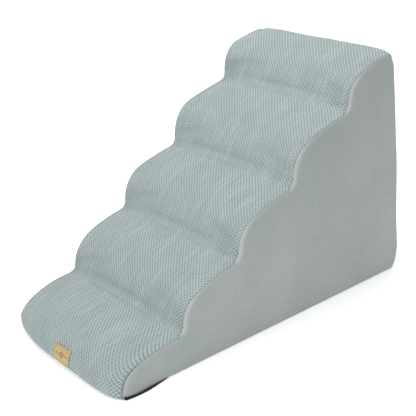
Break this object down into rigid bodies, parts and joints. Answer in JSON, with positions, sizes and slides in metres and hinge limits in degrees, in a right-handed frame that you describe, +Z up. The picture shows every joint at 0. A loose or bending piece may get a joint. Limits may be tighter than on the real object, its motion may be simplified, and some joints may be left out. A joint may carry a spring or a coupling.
{
  "type": "dog ramp",
  "caption": "Foam wave-step ramp for pets with a textured top, suede sides, a black anti-slip base and a zipped removable cover.",
  "frame": {"origin": "on the floor, under the middle of the ramp's whole width and length", "axes": "+Z up; X across the width; +Y from the low nose towards the tall back"},
  "size_m": [0.4, 0.7358, 0.48],
  "materials": {
    "textured_fabric": "matte",
    "suede": "matte",
    "base_fabric": "matte",
    "soft_foam": "matte",
    "firm_foam": "matte",
    "label_leatherette": "satin",
    "care_satin": "satin",
    "zip_tape": "matte",
    "zip_coil": "satin",
    "zip_metal": "satin"
  },
  "bodies": {
    "ramp": {"top_panel": "textured_fabric", "right_side_panel": "suede", "left_side_panel": "suede", "back_upper_panel": "suede", "back_lower_panel": "suede", "base_panel": "base_fabric", "soft_foam_layer": "soft_foam", "firm_foam_core": "firm_foam", "label_patch": "label_leatherette", "care_label": "care_satin", "zip_tape_upper": "zip_tape", "zip_tape_lower": "zip_tape", "zip_teeth_upper": "zip_coil", "zip_teeth_lower": "zip_coil", "zip_end_stop": "zip_metal", "zip_top_stop": "zip_metal"},
    "slider": {"zip_slider": "zip_metal"},
    "pull": {"zip_pull": "zip_metal"}
  },
  "joints": [
    {"name": "zip_slide", "type": "slide", "parent": "ramp", "child": "slider", "axis": [-1, 0, 0], "range_m": [0, 0.314]},
    {"name": "pull_turn", "type": "hinge", "parent": "slider", "child": "pull", "pos_m": [0.157, 0.36558, 0.064], "axis": [0, 0, -1], "range_deg": [0, 180]}
  ]
}
